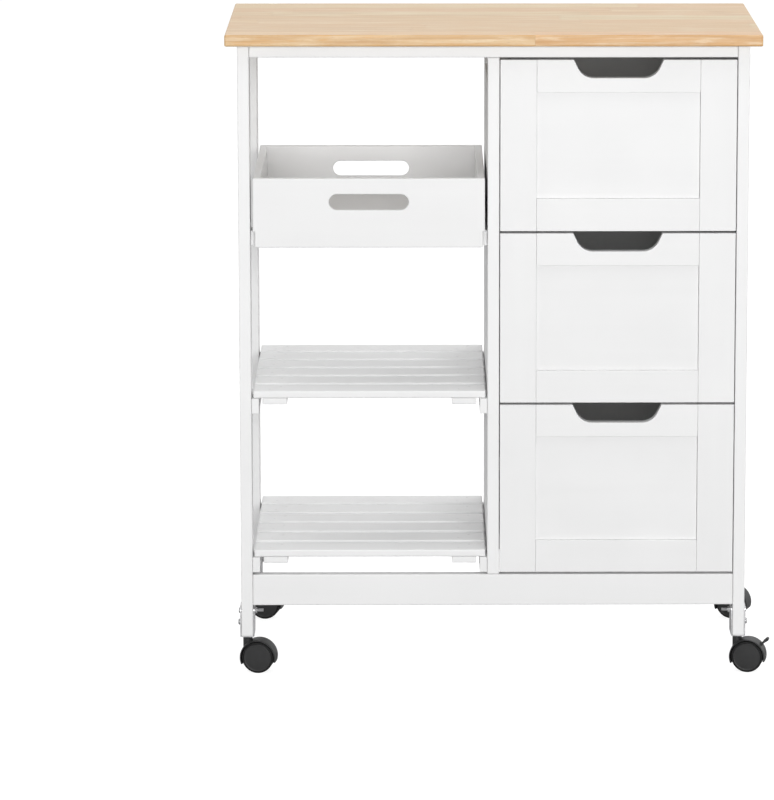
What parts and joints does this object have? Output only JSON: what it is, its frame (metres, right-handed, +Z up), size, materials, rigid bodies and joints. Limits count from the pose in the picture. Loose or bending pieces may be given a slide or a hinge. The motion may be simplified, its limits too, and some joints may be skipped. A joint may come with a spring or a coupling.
{
  "type": "kitchen island cart",
  "caption": "Rolling kitchen island cart with a wooden top, shaker drawers, slatted shelves, a pull-out serving tray and swivelling twin-wheel casters.",
  "frame": {"origin": "on the floor, under the middle of the whole cart's box, brake pedal included", "axes": "+Z up, the drawer fronts face -Y, +X to the right seen from the front"},
  "size_m": [0.6884, 0.37, 0.82],
  "materials": {
    "rubberwood": "oiled, satin",
    "frame_paint": "satin white paint",
    "drawer_paint": "satin white paint",
    "tray_paint": "satin white paint",
    "shelf_paint": "satin white paint",
    "drawer_interior": "matt white foil",
    "zinc_steel": "bright zinc plate",
    "stem_steel": "bright zinc plate",
    "black_nylon": "moulded, satin",
    "wheel_nylon": "moulded, satin"
  },
  "bodies": {
    "cart": {"tabletop": "rubberwood", "front_left_leg": "frame_paint", "front_right_leg": "frame_paint", "rear_left_leg": "frame_paint", "rear_right_leg": "frame_paint", "front_top_rail": "frame_paint", "front_bottom_rail": "frame_paint", "rear_top_rail": "frame_paint", "rear_bottom_rail": "frame_paint", "divider_front_post": "frame_paint", "divider_rear_post": "frame_paint", "divider_panel": "frame_paint", "right_side_panel": "frame_paint", "drawer_bay_back_panel": "drawer_interior", "middle_shelf": "shelf_paint", "lower_shelf": "shelf_paint", "tray_left_cleat": "frame_paint", "tray_right_cleat": "frame_paint", "middle_shelf_left_cleat": "frame_paint", "middle_shelf_right_cleat": "frame_paint", "lower_shelf_left_cleat": "frame_paint", "lower_shelf_right_cleat": "frame_paint", "top_drawer_left_runner": "frame_paint", "top_drawer_right_runner": "frame_paint", "middle_drawer_left_runner": "frame_paint", "middle_drawer_right_runner": "frame_paint", "bottom_drawer_left_runner": "frame_paint", "bottom_drawer_right_runner": "frame_paint", "front_left_caster_bracket": "zinc_steel", "front_left_caster_stem": "stem_steel", "front_right_caster_bracket": "zinc_steel", "front_right_caster_stem": "stem_steel", "rear_left_caster_bracket": "zinc_steel", "rear_left_caster_stem": "stem_steel", "rear_right_caster_bracket": "zinc_steel", "rear_right_caster_stem": "stem_steel"},
    "top_drawer": {"top_drawer_front": "drawer_paint", "top_drawer_box": "drawer_interior", "top_drawer_floor": "drawer_interior"},
    "middle_drawer": {"middle_drawer_front": "drawer_paint", "middle_drawer_box": "drawer_interior", "middle_drawer_floor": "drawer_interior"},
    "bottom_drawer": {"bottom_drawer_front": "drawer_paint", "bottom_drawer_box": "drawer_interior", "bottom_drawer_floor": "drawer_interior"},
    "tray": {"tray_front": "tray_paint", "tray_rear": "tray_paint", "tray_left_side": "tray_paint", "tray_right_side": "tray_paint", "tray_floor": "tray_paint"},
    "front_left_caster": {"front_left_caster_housing": "black_nylon"},
    "front_left_wheels": {"front_left_caster_wheels": "wheel_nylon"},
    "front_right_caster": {"front_right_caster_housing": "black_nylon"},
    "front_right_wheels": {"front_right_caster_wheels": "wheel_nylon"},
    "front_right_pedal": {"front_right_brake_pedal": "black_nylon"},
    "rear_left_caster": {"rear_left_caster_housing": "black_nylon"},
    "rear_left_wheels": {"rear_left_caster_wheels": "wheel_nylon"},
    "rear_left_pedal": {"rear_left_brake_pedal": "black_nylon"},
    "rear_right_caster": {"rear_right_caster_housing": "black_nylon"},
    "rear_right_wheels": {"rear_right_caster_wheels": "wheel_nylon"}
  },
  "joints": [
    {"name": "top_drawer_slide", "type": "slide", "parent": "cart", "child": "top_drawer", "axis": [0, -1, 0], "range_m": [0, 0.22]},
    {"name": "middle_drawer_slide", "type": "slide", "parent": "cart", "child": "middle_drawer", "axis": [0, -1, 0], "range_m": [0, 0.22]},
    {"name": "bottom_drawer_slide", "type": "slide", "parent": "cart", "child": "bottom_drawer", "axis": [0, -1, 0], "range_m": [0, 0.22]},
    {"name": "tray_slide", "type": "slide", "parent": "cart", "child": "tray", "axis": [0, -1, 0], "range_m": [0, 0.15]},
    {"name": "front_left_swivel", "type": "hinge", "parent": "cart", "child": "front_left_caster", "pos_m": [-0.3217, -0.15, 0.047], "axis": [0, 0, 1], "continuous": true},
    {"name": "front_left_wheel_spin", "type": "hinge", "parent": "front_left_caster", "child": "front_left_wheels", "pos_m": [-0.30784, -0.15195, 0.02], "axis": [0.1392, 0.9903, 0], "continuous": true},
    {"name": "front_right_swivel", "type": "hinge", "parent": "cart", "child": "front_right_caster", "pos_m": [0.3033, -0.15, 0.047], "axis": [0, 0, 1], "continuous": true},
    {"name": "front_right_wheel_spin", "type": "hinge", "parent": "front_right_caster", "child": "front_right_wheels", "pos_m": [0.31699, -0.15291, 0.02], "axis": [0.2079, 0.9781, 0], "continuous": true},
    {"name": "front_right_brake", "type": "hinge", "parent": "front_right_caster", "child": "front_right_pedal", "pos_m": [0.33313, -0.15634, 0.03485], "axis": [0.2079, 0.9781, 0], "range_deg": [0, 18]},
    {"name": "rear_left_swivel", "type": "hinge", "parent": "cart", "child": "rear_left_caster", "pos_m": [-0.3217, 0.15, 0.047], "axis": [0, 0, 1], "continuous": true},
    {"name": "rear_left_wheel_spin", "type": "hinge", "parent": "rear_left_caster", "child": "rear_left_wheels", "pos_m": [-0.30791, 0.14757, 0.02], "axis": [0.1736, 0.9848, 0], "continuous": true},
    {"name": "rear_left_brake", "type": "hinge", "parent": "rear_left_caster", "child": "rear_left_pedal", "pos_m": [-0.29167, 0.1447, 0.03485], "axis": [0.1736, 0.9848, 0], "range_deg": [0, 18]},
    {"name": "rear_right_swivel", "type": "hinge", "parent": "cart", "child": "rear_right_caster", "pos_m": [0.3033, 0.15, 0.047], "axis": [0, 0, 1], "continuous": true},
    {"name": "rear_right_wheel_spin", "type": "hinge", "parent": "rear_right_caster", "child": "rear_right_wheels", "pos_m": [0.31646, 0.14521, 0.02], "axis": [0.342, 0.9397, 0], "continuous": true}
  ]
}
